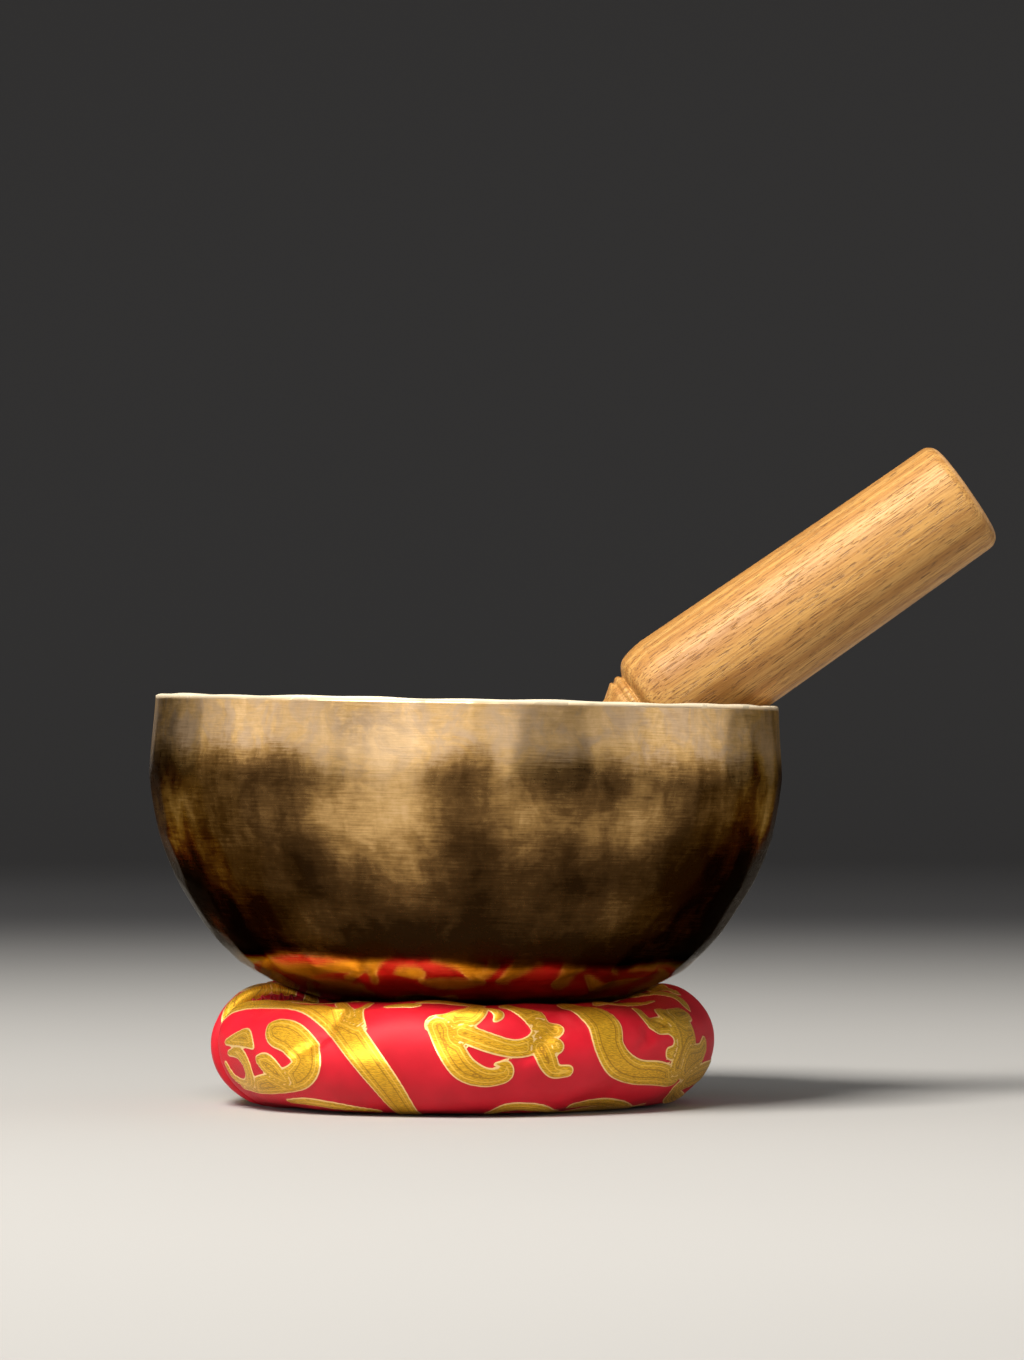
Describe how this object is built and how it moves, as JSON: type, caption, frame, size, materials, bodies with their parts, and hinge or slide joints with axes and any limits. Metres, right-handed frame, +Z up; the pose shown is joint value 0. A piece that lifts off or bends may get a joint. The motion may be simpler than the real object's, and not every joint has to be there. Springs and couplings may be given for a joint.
{
  "type": "singing bowl",
  "caption": "Hammered bronze singing bowl seated on a brocade ring cushion, with a turned wooden mallet leaning over its rim; the mallet lifts out and the bowl lifts off.",
  "frame": {"origin": "on the surface that the cushion stands on, under the middle of the whole object's box", "axes": "+Z up; +X the way the mallet's barrel points over the rim; +Y away from the front"},
  "size_m": [0.1674, 0.1252, 0.1299],
  "materials": {
    "hammered_bronze": "hammered, brushed, with a mottled brown patina and a bright rim",
    "hardwood": "turned and waxed, satin",
    "brocade": "red satin with woven gold scrolls",
    "wadding": "loose fibre",
    "sewing_thread": "twisted thread"
  },
  "bodies": {
    "cushion": {"cushion_cover": "brocade", "cushion_filling": "wadding", "closing_thread": "sewing_thread", "join_thread": "sewing_thread"},
    "bowl": {"bowl": "hammered_bronze"},
    "mallet": {"mallet": "hardwood"}
  },
  "joints": [
    {"name": "bowl_lift", "type": "slide", "parent": "cushion", "child": "bowl", "axis": [0, 0, 1], "range_m": [0, 0.07]},
    {"name": "mallet_draw", "type": "slide", "parent": "bowl", "child": "mallet", "axis": [0.7716, 0, 0.6361], "range_m": [0, 0.115]}
  ]
}
